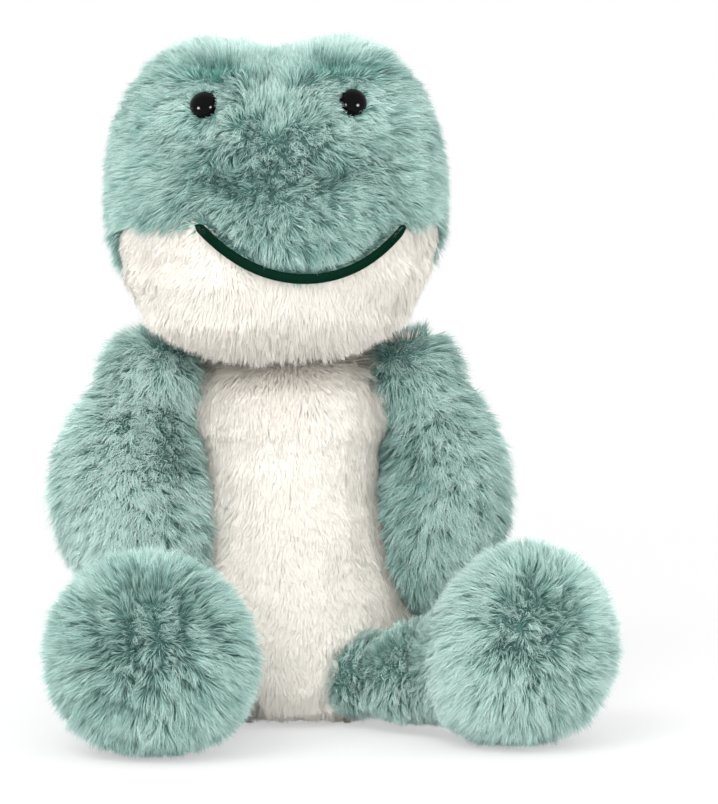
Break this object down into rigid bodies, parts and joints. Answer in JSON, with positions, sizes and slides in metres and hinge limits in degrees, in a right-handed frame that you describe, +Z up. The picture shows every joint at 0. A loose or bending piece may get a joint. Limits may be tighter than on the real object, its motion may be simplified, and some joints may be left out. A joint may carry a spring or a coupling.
{
  "type": "plush frog",
  "caption": "Sitting plush frog with a turning, nodding head, arms that lift at the shoulders, legs that swing at the hips, set eyes and a stitched smile.",
  "frame": {"origin": "middle of the flat underside of the seat, on the surface that the frog sits on", "axes": "+Z up, the frog faces -Y, its own left side is at +X"},
  "size_m": [0.2481, 0.2036, 0.3061],
  "materials": {
    "sage_pile": "matte",
    "cream_pile": "matte",
    "stuffing_fibre": "matte",
    "pellet_cloth": "matte",
    "seam_thread": "satin",
    "eye_plastic": "gloss",
    "washer_plastic": "matte",
    "mouth_thread": "satin"
  },
  "bodies": {
    "torso": {"torso_back_panel": "sage_pile", "torso_belly_panel": "cream_pile", "torso_stuffing": "stuffing_fibre", "seat_pellet_bag": "pellet_cloth"},
    "neck": {"neck_thread": "seam_thread"},
    "head": {"head_left_panel": "sage_pile", "head_right_panel": "sage_pile", "head_chin_panel": "cream_pile", "head_stuffing": "stuffing_fibre", "left_eye": "eye_plastic", "right_eye": "eye_plastic", "left_eye_washer": "washer_plastic", "right_eye_washer": "washer_plastic", "mouth_stitching": "mouth_thread"},
    "left_arm": {"left_arm_cover": "sage_pile", "left_arm_stuffing": "stuffing_fibre"},
    "right_arm": {"right_arm_cover": "sage_pile", "right_arm_stuffing": "stuffing_fibre"},
    "left_leg": {"left_leg_cover": "sage_pile", "left_sole_panel": "sage_pile", "left_leg_stuffing": "stuffing_fibre"},
    "right_leg": {"right_leg_cover": "sage_pile", "right_sole_panel": "sage_pile", "right_leg_stuffing": "stuffing_fibre"}
  },
  "joints": [
    {"name": "head_turn", "type": "hinge", "parent": "torso", "child": "neck", "pos_m": [0, 0, 0.135], "axis": [0, 0, 1], "range_deg": [-25, 25], "stiffness_Nm_per_rad": 0.6},
    {"name": "head_nod", "type": "hinge", "parent": "neck", "child": "head", "pos_m": [0, 0, 0.135], "axis": [1, 0, 0], "range_deg": [-14, 8], "stiffness_Nm_per_rad": 1.5},
    {"name": "left_arm_lift", "type": "hinge", "parent": "torso", "child": "left_arm", "pos_m": [0.0525, -0.002, 0.155], "axis": [0, -1, 0], "range_deg": [0, 75]},
    {"name": "right_arm_lift", "type": "hinge", "parent": "torso", "child": "right_arm", "pos_m": [-0.0575, -0.002, 0.155], "axis": [0, 1, 0], "range_deg": [0, 75]},
    {"name": "left_leg_swing", "type": "hinge", "parent": "torso", "child": "left_leg", "pos_m": [0.032, -0.031, 0.0245], "axis": [-0.5272, -0.6871, -0.5], "range_deg": [0, 30]},
    {"name": "right_leg_swing", "type": "hinge", "parent": "torso", "child": "right_leg", "pos_m": [-0.032, -0.031, 0.0245], "axis": [-0.8236, 0.2676, 0.5], "range_deg": [0, 30]}
  ]
}
